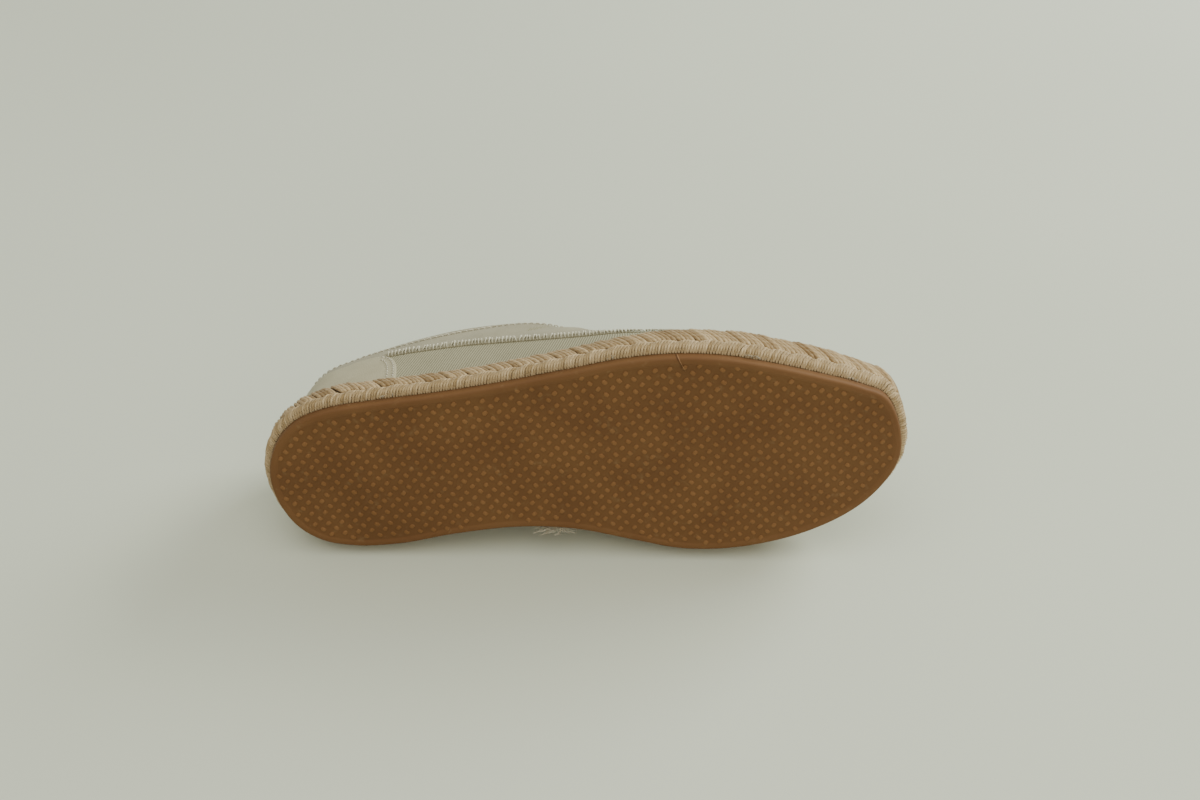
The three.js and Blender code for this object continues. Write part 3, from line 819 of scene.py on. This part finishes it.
class ESPADRILLE_OT_braid(bpy.types.Operator):
    """Jute midsole: a core, slanted yarns above and a row of fine fibred lobes below"""

    bl_idname = "espadrille.braid"
    bl_label = "Braided jute midsole"

    def place(self, s, grow, rise):
        """Points at s mm round the loop, grow mm outside the rubber, at a part of the height."""
        s = np.mod(s, self.length) / self.length * self.count
        a = np.floor(s).astype(int) % self.count
        mix = (s - np.floor(s))[..., None]
        b = (a + 1) % self.count
        plan = self.loop[a] * (1 - mix) + self.loop[b] * mix
        out = self.normal[a] * (1 - mix) + self.normal[b] * mix
        out /= np.linalg.norm(out, axis=-1, keepdims=True)
        low = sole_line(plan[..., 0]) + RUBBER_THICK + 0.1
        top = jute_top(plan[..., 0])
        z = low + rise * (top - low)
        spot = plan + out * np.asarray(grow, float)[..., None]
        lifts = np.concatenate([out, np.zeros(out.shape[:-1] + (1,))], axis=-1)
        return np.concatenate([spot, z[..., None]], axis=-1), lifts

    def bulge(self, rise):
        return np.interp(rise, BRAID_PROFILE[:, 1], BRAID_PROFILE[:, 0]) * JUTE_BULGE

    def execute(self, context):
        settings = context.scene.espadrille_braid
        random.seed(settings.seed)
        self.count = 1200  # points of the even outline that the yarns follow
        self.loop, self.length = even_loop(sole_loop(360), self.count)
        self.normal = outward(self.loop)
        lobes = round(self.length * MM / settings.pitch)
        pitch = self.length / lobes
        self.core()
        self.upper_row(settings, lobes, pitch)
        self.lower_row(lobes, pitch)
        return {"FINISHED"}

    def core(self):
        bm = new_bmesh()
        loop = sole_loop(OUTLINE_STEPS)
        rings = []
        for grow, rise in BRAID_PROFILE:
            plan = offset_loop(loop, grow * JUTE_BULGE - 1.3)
            low = sole_line(plan[:, 0]) + RUBBER_THICK + 0.02
            rings.append(np.column_stack([plan, low + rise * (jute_top(plan[:, 0]) - 0.5 - low)]))
        ring_strip(bm, rings, self.length, tone=0.3)
        ring_cap(bm, rings[0], lambda x, y: sole_line(x) + RUBBER_THICK + 0.02)
        ring_cap(bm, rings[-1], lambda x, y: jute_top(x) - 0.5)
        shaded = material("jute core in shade", jute,
                          low=colour("#6a5030"), high=colour("#92744a"), fringe="#a1865b")
        finish_piece("jute_core", bm, [shaded], replaced=["jute_midsole"])

    def upper_row(self, settings, lobes, pitch):
        """Five strands to a lobe, closer together below, so that a gap opens between lobes."""
        bm = new_bmesh()
        part = np.linspace(0, 1, 13)
        rise = np.interp(part, [0, 0.1, 0.72, 1], [0.25, 0.31, 0.97, 1.03])
        inward = np.interp(part, [0, 0.72, 0.85, 1], [0, 0, -1.6, -3.9])
        each, slant = 5, math.tan(settings.slant)
        for lobe in range(lobes):
            squeeze = min(1.0, max(0.78, random.gauss(0.89, 0.06)))
            depth = random.gauss(0, 0.15)
            for k in range(each):
                phase = (k + 0.5) / each
                foot = (lobe + 0.54 + (phase - 0.5) * squeeze) * pitch + random.gauss(0, 0.1)
                head = (lobe + 0.04 + phase) * pitch + random.gauss(0, 0.16)
                s = foot + (head - foot) * part
                height = BRAID_SIDE * np.minimum(rise, 1)
                s = s - slant * (height - height[0]) - 0.4 * np.sin(np.pi * part)
                tuck = np.interp(part, [0, 0.16, 0.3], [-1.7, -0.1, 0.15])
                swell = np.interp(part, [0, 0.5, 1], [1, 0.8, 0.2])
                swell = 0.4 * math.sin(math.pi * phase) * swell
                grow = self.bulge(np.minimum(rise, 1)) + inward - 0.85 + depth
                points, lifts = self.place(s, grow + tuck + swell + random.gauss(0, 0.12), rise)
                lifts[:, 2] = np.interp(part, [0, 0.4, 0.8, 1], [-0.2, 0.2, 1.5, 3])
                radii = np.interp(part, [0, 0.15, 0.8, 1], [0.75, 0.97, 1.02, 0.85])
                radii = radii * random.gauss(1.0, 0.07)
                tone = np.clip(random.gauss(0.5, 0.3), 0, 1)
                add_tube(bm, points, radii, lifts, sides=8, tone=tone)
        yarn = material("jute yarn", jute, low=settings.yarn_dark, high=settings.yarn_light,
                        fringe="#dccbab")
        finish_piece("jute_upper_yarns", bm, [yarn])

    def lower_row(self, lobes, pitch):
        """Arched lobes of fine fibres, each set a little over the next, frayed at the rubber."""
        bm = new_bmesh()
        part = np.linspace(0, 1, 9)
        each = 8
        for lobe in range(lobes):
            tilt = random.gauss(0, 0.01)
            for k in range(each):
                phase = (k + 0.5) / each
                arch = math.sin(math.pi * phase**0.85)
                top = 0.25 + 0.1 * arch + tilt
                rise = part * top
                s = (lobe + phase) * pitch + random.gauss(0, 0.08)
                s = s - (1 - part) * 1.2 + 2.2 * part**2
                grow = self.bulge(rise) - 0.45 + 0.35 * arch * np.sin(np.pi * part)
                grow = grow - np.interp(part, [0.85, 1], [0, 0.7]) + random.gauss(0, 0.07)
                grow[0] += 0.1
                points, lifts = self.place(s, grow, rise)
                lifts[:, 2] = np.interp(part, [0, 0.5, 1], [-1.0, -0.5, 0.4])
                radii = np.interp(part, [0, 0.1, 0.9, 1], [0.5, 0.68, 0.72, 0.56])
                frayed = np.interp(part, [0, 0.12, 0.8, 1], [0.7, 0, 0, 0.35])
                tone = np.clip(random.gauss(0.5, 0.18) + frayed, 0, 1)
                add_tube(bm, points, radii, lifts, sides=7, tone=tone)
        fibre = material("jute fibre lobes", jute,
                         low=colour("#957a52"), high=colour("#cab088"), fringe="#e6d8bb")
        finish_piece("jute_lower_lobes", bm, [fibre])


class ESPADRILLE_OT_upper(bpy.types.Operator):
    """Hollow upper: canvas sides with lining, suede vamp and collar, rolled edge, insole"""

    bl_idname = "espadrille.upper"
    bl_label = "Upper and insole"

    def execute(self, context):
        settings = context.scene.espadrille_upper
        nap = material("sand suede", suede, low=settings.suede_dark, high=settings.suede_light)
        self.shell(settings)
        self.vamp(nap)
        self.binding(nap)
        self.collar_stitches()
        self.insole()
        return {"FINISHED"}

    def shell(self, settings):
        i = np.arange(SKIN.count + 1)
        t = np.arange(SKIN.rows + 1)
        points = SKIN.at(i[None, :], t[:, None], 0)
        points[-1] = SKIN.at(i, np.full(len(i), SKIN.rows - 1e-6), 0)
        up = t[:, None] / SKIN.rows * SKIN.length[i % SKIN.count][None, :]
        uvs = np.stack(np.broadcast_arrays(SKIN.around[None, :], up), axis=-1) * MM
        bm = new_bmesh()
        add_grid(bm, points, uvs)
        materials = [
            material("ribbed cotton canvas", canvas, low=settings.canvas_dark,
                     high=settings.canvas_light, pitch=settings.rib_pitch),
            material("cotton lining", cloth, low=colour("#b3ac98"), high=colour("#cfc9b7"),
                     pitch=0.0009),
        ]
        piece = finish_piece("upper_shell", bm, materials, ["upper"], outwards=False)
        wall = piece.modifiers.new("wall", "SOLIDIFY")
        wall.thickness = settings.wall
        wall.offset = -1
        wall.material_offset = 1

    def vamp(self, nap):
        """The suede laid over the canvas, from the seam to the collar."""
        bm = new_bmesh()
        i = np.arange(SKIN.count + 1)
        low = np.array([SKIN.down_to_seam(k) for k in i])
        high = np.full(len(i), SKIN.rows - 1e-6)
        low = np.minimum(low, high - 2)
        rate = np.array([SKIN.per_mm(k) for k in i])
        # Part of the way up, millimetres past that, and lift; the first three round the cut edge.
        steps = [(0.0, 0.0, 0.02), (0.0, 0.05, 0.38), (0.0, 0.5, 0.5)]
        steps += [(part, 0.0, 0.5) for part in np.linspace(0.03, 1, 40)]
        rows, uvs = [], []
        for part, shift, lift in steps:
            t = low + (high - low) * part + shift * rate
            plain = SKIN.at(i, t, 0)
            fade = min(1.0, part * 5) * min(1.0, (1 - part) * 4 + 0.25)
            rows.append(SKIN.at(i, t, lift + fade * folded(plain) + 0.12 * fade))
            uvs.append(np.stack([SKIN.around, t / rate], axis=-1) * MM)
        add_grid(bm, np.array(rows), np.array(uvs))
        piece = finish_piece("suede_vamp", bm, [nap], outwards=False)
        skin = piece.modifiers.new("skin", "SOLIDIFY")
        skin.thickness = 0.9 * MM
        skin.offset = -1

    def rim(self):
        """The middle of the rolled edge: places round the loop, and points in millimetres."""
        i = np.arange(0, SKIN.count, 0.5)
        t = SKIN.rows - 0.5 * SKIN.rows / SKIN.length[i.astype(int)]
        return i, SKIN.at(i, t, -0.8)

    def binding(self, nap):
        """The collar's rolled edge."""
        bm = new_bmesh()
        i, top = self.rim()
        lifts = SKIN.sample(SKIN.normals, i, np.full(len(i), SKIN.rows - 1e-6))
        path = np.vstack([top, top[:1]])
        lifts = np.vstack([lifts, lifts[:1]])
        run = np.roll(top, -1, axis=0) - np.roll(top, 1, axis=0)
        run = np.vstack([run, run[:1]])
        run /= np.linalg.norm(run, axis=1, keepdims=True)
        side = np.cross(lifts, run)
        side /= np.linalg.norm(side, axis=1, keepdims=True)
        lift = np.cross(run, side)
        angle = np.linspace(0, 2 * np.pi, 13)
        angle[-1] = 0
        points = path[:, None] + side[:, None] * np.cos(angle)[None, :, None] * 1.1
        points = points + lift[:, None] * np.sin(angle)[None, :, None] * 1.3
        uvs = np.zeros(points.shape[:2] + (2,))
        uvs[..., 0] = np.arange(13)[None, :] * MM
        uvs[..., 1] = np.arange(len(path))[:, None] * MM
        add_grid(bm, points, uvs)
        finish_piece("collar_edge", bm, [nap])

    def collar_stitches(self):
        """A row of stitches that holds the turned edge down."""
        bm = new_bmesh()
        random.seed(3)
        i, top = self.rim()
        edge = running_length(np.vstack([top, top[:1]]))
        index = np.concatenate([i, [SKIN.count]])
        pitch = 2.9
        count = int(edge[-1] / pitch)
        for k in range(count):
            ends = (k + np.linspace(-0.36, 0.36, 5)) * edge[-1] / count
            place = np.interp(np.mod(ends, edge[-1]), edge, index)
            t = np.array([SKIN.rows - 4.2 * SKIN.per_mm(a) for a in place])
            plain = SKIN.at(place, t, 0)
            lift = 0.95 + 0.5 * folded(plain) + np.array([-0.35, 0.1, 0.2, 0.1, -0.35])
            points = SKIN.at(place, t, lift)
            normals = SKIN.sample(SKIN.normals, place, t)
            add_tube(bm, points, 0.3, normals, sides=6, tone=random.random())
        finish_piece("collar_stitches", bm, [cotton_thread()])

    def insole(self):
        bm = new_bmesh()
        loop = sole_loop(OUTLINE_STEPS)
        length = even_loop(loop, 10)[1]
        rings = []
        for grow, lift in [(-7.2, 0.0), (-7.2, 0.8), (-7.35, 2.2), (-7.8, 2.8), (-8.7, 3.0)]:
            plan = offset_loop(loop, grow)
            rings.append(np.column_stack([plan, jute_top(plan[:, 0]) + GAP + lift]))
        ring_strip(bm, rings, length)
        ring_cap(bm, rings[0], lambda x, y: jute_top(x) + GAP)
        ring_cap(bm, rings[-1], lambda x, y: jute_top(x) + GAP + 3.0, across=24)
        cotton = material("insole cotton", cloth, low=colour("#a89d80"), high=colour("#c4b99b"),
                          pitch=0.0012)
        finish_piece("insole", bm, [cotton], replaced=["insole"])


class ESPADRILLE_OT_counter(bpy.types.Operator):
    """Leather heel counter with two rows of stitches along each front edge"""

    bl_idname = "espadrille.counter"
    bl_label = "Heel counter"

    def front(self, way, v):
        """The front edge's place round the loop and height; way is 1 lateral, -1 medial."""
        front = COUNTER_FOOT - (COUNTER_FOOT - COUNTER_TIP) * v**2
        height = COUNTER_BASE + (COUNTER_TOP - COUNTER_BASE) * (2 * v - v**2)
        near = way * np.arange(10.0, 60.0)
        x = np.array([self.skin_at(k, height)[0] for k in near])
        return float(np.interp(front, x, near)), height

    def skin_at(self, place, height):
        return SKIN.at(place, SKIN.rise_to(place, height), 0)

    def execute(self, context):
        bm = new_bmesh()
        settings = context.scene.espadrille_upper
        rows, uvs = [], []
        # Columns from the medial edge to the lateral one, closer together towards both edges.
        u = np.linspace(-1, 1, 97)
        inner = 1 - np.abs(u)
        u = np.sign(u) * (1 - inner * np.interp(inner, [0, 0.1, 1], [0.12, 0.4, 1.0]))
        for v in np.concatenate([np.linspace(0, 0.9, 13), [0.94, 0.97, 0.99, 1.0]]):
            left, height = self.front(-1, v)
            right, height = self.front(1, v)
            place = left + (right - left) * (u + 1) / 2
            t = np.array([SKIN.rise_to(a, height) for a in place])
            x = SKIN.at(place, t, 0)[:, 0]
            # The leather thins to a rolled edge in front and on top.
            inside = np.minimum(np.minimum(np.abs(x - x[0]), np.abs(x - x[-1])), 3)
            inside = np.minimum(inside, (1 - v) * 28 / 1.2)
            lift = np.interp(inside, [0, 0.35, 1], [0.1, 0.55, 0.82])
            rows.append(SKIN.at(place, t, lift))
            uvs.append(np.stack([place * 0.002, np.full(len(u), height * MM)], axis=-1))
        add_grid(bm, np.array(rows), np.array(uvs))
        cream = material("cream leather", leather,
                         low=settings.leather_dark, high=settings.leather_light)
        piece = finish_piece("heel_counter", bm, [cream],
                             ["heel_counter"], outwards=False)
        skin = piece.modifiers.new("skin", "SOLIDIFY")
        skin.thickness = 1.0 * MM
        skin.offset = -1
        self.stitches()
        return {"FINISHED"}

    def stitches(self):
        """Short stitches parallel to the front edges, and their needle holes."""
        bm, holes = new_bmesh(), new_bmesh()
        pitch = 2.5
        random.seed(8)
        v = np.linspace(0.02, 0.985, 60)
        for way in (1, -1):
            edges = [self.front(way, a) for a in v]
            line = np.array([self.skin_at(a, h) for a, h in edges])
            for inset in (1.5, 4.3):
                shifted = []
                for a, h in edges:
                    near = a - way * np.linspace(0, 8, 33)
                    points = [self.skin_at(b, h) for b in near]
                    away = np.array([np.linalg.norm(line - p, axis=1).min() for p in points])
                    shifted.append(float(np.interp(inset, np.maximum.accumulate(away), near)))
                heights = np.array([h for _, h in edges])
                keep = heights < COUNTER_TOP - inset
                shifted, heights = np.array(shifted)[keep], heights[keep]
                path = [self.skin_at(b, h) for b, h in zip(shifted, heights)]
                edge = running_length(path)
                for k in range(int(edge[-1] / pitch)):
                    ends = 1.2 + k * pitch + np.linspace(-0.75, 0.75, 5)
                    b = np.interp(ends, edge, shifted)
                    h = np.interp(ends, edge, heights)
                    rise = np.array([SKIN.rise_to(p, q) for p, q in zip(b, h)])
                    lift = 0.86 + np.array([-0.35, 0.06, 0.14, 0.06, -0.35])
                    points = SKIN.at(b, rise, lift)
                    normals = SKIN.sample(SKIN.normals, b, rise)
                    add_tube(bm, points, 0.36, normals, sides=6, tone=random.uniform(0.3, 0.8))
                    hole = b[-1] + np.array([0, 0.05, 0.1]) * way
                    points = SKIN.at(hole, rise[-1] + np.array([0, 0.04, 0.08]), 0.84)
                    add_tube(holes, points, 0.42, normals[:3], sides=6)
        finish_piece("counter_stitches", bm, [cotton_thread()])
        shaded = material("shaded thread", thread, low=colour("#5c553f"), high=colour("#6f674f"))
        finish_piece("needle_holes", holes, [shaded])


class ESPADRILLE_OT_seam(bpy.types.Operator):
    """Thick whip stitches over the suede's lower edge on both sides"""

    bl_idname = "espadrille.seam"
    bl_label = "Whip-stitched seam"

    def execute(self, context):
        pitch = context.scene.espadrille_upper.stitch_pitch / MM
        random.seed(21)
        bm = new_bmesh()
        for way in (1, -1):
            index = np.arange(18, 120) * way
            t = np.array([SKIN.down_to_seam(k) for k in index])
            line = SKIN.at(index, t, 0)
            keep = (line[:, 0] > 51) & (t > 0.6)
            index, t, line = index[keep], t[keep], line[keep]
            edge = running_length(line)
            for k in range(int(edge[-1] / pitch)):
                at = k * pitch + random.gauss(0, 0.1)
                a = np.interp(at, edge, index)
                base = np.interp(at, edge, t)
                tall = 3.6 + random.gauss(0, 0.25)
                lean = random.gauss(0, 0.12) * way
                up = np.array([-0.5, -0.05, 0.3, 1.2, tall - 0.5, tall, tall + 0.25])
                lift = np.array([-0.1, 0.6, 0.95, 1.05, 1.2, 1.25, 0.7])
                radii = np.array([0.24, 0.28, 0.3, 0.31, 0.42, 0.56, 0.38]) * random.gauss(1, 0.1)
                place = a + lean * up * 0.3
                rise = base + up * SKIN.per_mm(a)
                points = SKIN.at(place, rise, lift)
                normals = SKIN.sample(SKIN.normals, place, np.clip(rise, 0, SKIN.rows - 1))
                # Each stitch is darker at its foot, painted shade where the thread dips under the
                # suede's edge, and lighter towards its top, painted highlight.
                tone = np.array([0.1, 0.2, 0.35, 0.4, 0.7, 1, 1]) + random.gauss(0, 0.1)
                add_tube(bm, points, radii, normals, sides=6, tone=np.clip(tone, 0, 1))
        heavy = material("seam thread", thread, low=colour("#989073"), high=colour("#dbd4bd"))
        finish_piece("seam_stitches", bm, [heavy])
        return {"FINISHED"}


class ESPADRILLE_OT_marks(bpy.types.Operator):
    """Loose fibres and a fine crack in the sole's border"""

    bl_idname = "espadrille.marks"
    bl_label = "Small marks"

    def execute(self, context):
        self.crack()
        self.fibres()
        return {"FINISHED"}

    def crack(self):
        """A crack that runs inwards from the lateral edge at the ball, drawn as a dark strand of
        painted shade, with a scuffed lip.
        """
        edge = -float(half_width(LATERAL, 188.5))
        x = 187.6 + np.array([0.0, 0.2, 0.5, 0.9, 1.6, 2.4, 3.2])
        y = edge + np.array([-0.05, -0.05, 0.2, 1.1, 2.9, 4.9, 6.6])
        z = np.array([3.4, 1.8, 0.45, 0.02, -0.02, -0.02, -0.02])
        radii = np.array([0.26, 0.26, 0.24, 0.22, 0.18, 0.13, 0.06])
        lifts = np.array([[0, -1, -0.1]] * 2 + [[0, -1, -1]] + [[0, 0, -1]] * 4, float)
        # The dark crack strand is painted shade in the slit; the paler strand beside it is the
        # scuffed lip.
        for name, title, shift, size, low, high in [
            ("border_crack", "gum rubber, dark crack", 0.0, 1.0, "#56381f", "#5f4026"),
            ("crack_edge", "gum rubber, scuffed edge", 0.55, 0.7, "#9a7350", "#a57e5a"),
        ]:
            bm = new_bmesh()
            path = np.column_stack([x + shift, y, z])
            add_tube(bm, path, radii * size, lifts, sides=5, flat=0.5)
            look = material(title, rubber, low=colour(low), high=colour(high))
            finish_piece(name, bm, [look])

    def fibres(self):
        """Short loose fibres along the jute's lower edge, and a frayed tuft under the arch."""
        random.seed(2)
        bm = new_bmesh()
        # Where along the sole, on which side, how many, and how long in millimetres.
        spots = [(221.0, LATERAL, 14, 2.2), (140.0, MEDIAL, 10, 3.0), (262.0, LATERAL, 5, 2.0)]
        spots += [(60.0, LATERAL, 5, 2.0), (30.0, MEDIAL, 6, 2.4), (160.0, LATERAL, 4, 1.8)]
        for at, side, count, size in spots:
            way = -1 if side == LATERAL else 1
            for _ in range(count):
                x0 = at + random.gauss(0, size * 0.9)
                y0 = way * (float(half_width(side, x0)) + 0.6)
                z0 = float(sole_line(x0)) + RUBBER_THICK + random.uniform(-0.3, 0.6)
                length = random.uniform(0.5, 1.0) * size
                turn = random.uniform(-1.2, 1.2)
                part = np.linspace(0, 1, 6)
                x = x0 + length * math.sin(turn) * part
                y = y0 + way * (length * math.cos(turn) * 0.5 * part + 0.8 * np.sin(part * 2.5))
                z = z0 - length * 0.7 * part**1.5
                lifts = np.tile([0.0, way, 0.05], (6, 1))
                radii = np.linspace(0.14, 0.05, 6)
                add_tube(bm, np.column_stack([x, y, z]), radii, lifts, sides=5, tone=0.9)
        # The tuft hangs out from the medial side.
        for _ in range(44):
            x0 = random.uniform(119, 131)
            y0 = float(half_width(MEDIAL, x0))
            part = np.linspace(0, 1, 6)
            run = random.uniform(2.5, 7.0) * random.choice((-1, 1))
            x = x0 + run * part
            y = y0 + 0.6 + random.uniform(0.5, 3.0) * np.sin(part * 2.2)
            z = RUBBER_THICK - 0.5 - random.uniform(3.0, 5.4) * part
            lifts = np.tile([0.0, 1.0, 0.3], (6, 1))
            radii = np.linspace(0.2, 0.1, 6)
            add_tube(bm, np.column_stack([x, y, z]), radii, lifts, sides=5, tone=0.95)
        loose = material("loose jute fibre", jute,
                         low=colour("#d3c5a3"), high=colour("#e4d9c0"), fringe="#e8dec6")
        finish_piece("loose_fibres", bm, [loose])


class ESPADRILLE_OT_stage(bpy.types.Operator):
    """Floor, soft lights and the camera"""

    bl_idname = "espadrille.stage"
    bl_label = "Stage"

    def execute(self, context):
        settings = context.scene.espadrille_stage
        bm = bmesh.new()
        bmesh.ops.create_grid(bm, x_segments=1, y_segments=1, size=settings.size / 2)
        mesh = bpy.data.meshes.new("floor")
        bm.to_mesh(mesh)
        bm.free()
        mesh.materials.append(material("studio paper", paper,
                                       low=colour("#d0d3c1"), high=colour("#d5d8c6")))
        floor = bpy.data.objects.new("floor", mesh)
        context.scene.collection.objects.link(floor)

        world = bpy.data.worlds.new("studio")
        context.scene.world = world
        world.use_nodes = True
        sky = world.node_tree.nodes["Background"]
        sky.inputs["Color"].default_value = colour("#f4f6ef")
        sky.inputs["Strength"].default_value = 0.52

        # A wide soft box above and behind, a smaller one to the right, and a weak one in front.
        lamps = [
            ("overhead", (-0.1, -0.35, 1.9), (0.0, 0.0, 0.0), 2.4, 1.8, 22.0, "#fbfcf0"),
            ("right", (1.7, 1.1, 1.2), (0.35, 0.45, 0.0), 1.3, 1.0, 58.0, "#f2faf6"),
            ("front", (1.1, -1.7, 1.1), (0.1, -0.1, 0.0), 1.6, 1.2, 10.0, "#fff8e8"),
        ]
        for name, place, target, width, depth, power, code in lamps:
            light = bpy.data.lights.new(name, "AREA")
            light.shape = "RECTANGLE"
            light.size, light.size_y = width, depth
            light.energy = power
            light.color = colour(code)[:3]
            lamp = bpy.data.objects.new(name, light)
            lamp.location = place
            aim = Vector(target) - Vector(place)
            lamp.rotation_euler = aim.to_track_quat("-Z", "Y").to_euler()
            context.scene.collection.objects.link(lamp)

        camera_data = bpy.data.cameras.new("camera")
        camera_data.lens = settings.lens
        camera_data.sensor_width = 36
        camera_data.clip_start = 0.01
        camera = bpy.data.objects.new("camera", camera_data)
        # The camera looks down on the sole from in front: its axes, and its place in metres.
        right, up = Vector((0.9998, 0.0210, -0.0054)), Vector((-0.0104, 0.6799, 0.7332))
        back = right.cross(up).normalized()
        up = back.cross(right).normalized()
        turn = Matrix((right.normalized(), up, back)).transposed()
        camera.matrix_world = Matrix.Translation((0.0193, -0.4760, 0.4997)) @ turn.to_4x4()
        context.scene.collection.objects.link(camera)
        context.scene.camera = camera
        return {"FINISHED"}


# ---------------------------------------------------------------- add-on


class ESPADRILLE_PT_panel(bpy.types.Panel):
    bl_idname = "ESPADRILLE_PT_panel"
    bl_label = "Espadrille"
    bl_space_type = "VIEW_3D"
    bl_region_type = "UI"
    bl_category = "Espadrille"

    def draw(self, context):
        groups = {
            "espadrille_sole": ["outsole"],
            "espadrille_braid": ["braid"],
            "espadrille_upper": ["upper", "counter", "seam", "marks"],
            "espadrille_stage": ["stage"],
        }
        for group, operators in groups.items():
            box = self.layout.box()
            settings = getattr(context.scene, group)
            for prop in settings.__annotations__:
                box.prop(settings, prop)
            for name in operators:
                box.operator(f"espadrille.{name}")


SETTINGS = {
    "espadrille_sole": SoleSettings,
    "espadrille_braid": BraidSettings,
    "espadrille_upper": UpperSettings,
    "espadrille_stage": StageSettings,
}
CLASSES = [
    *SETTINGS.values(), ESPADRILLE_OT_outsole, ESPADRILLE_OT_braid, ESPADRILLE_OT_upper,
    ESPADRILLE_OT_counter, ESPADRILLE_OT_seam, ESPADRILLE_OT_marks, ESPADRILLE_OT_stage,
    ESPADRILLE_PT_panel,
]


def register():
    for item in CLASSES:
        bpy.utils.register_class(item)
    for name, group in SETTINGS.items():
        setattr(bpy.types.Scene, name, bpy.props.PointerProperty(type=group))


def unregister():
    for name in SETTINGS:
        delattr(bpy.types.Scene, name)
    for item in reversed(CLASSES):
        bpy.utils.unregister_class(item)


def main():
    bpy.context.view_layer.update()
    register()
    bpy.ops.espadrille.outsole()
    bpy.ops.espadrille.braid()
    bpy.ops.espadrille.upper()
    bpy.ops.espadrille.counter()
    bpy.ops.espadrille.seam()
    bpy.ops.espadrille.marks()
    bpy.ops.espadrille.stage()


if __name__ == "__main__":
    main()
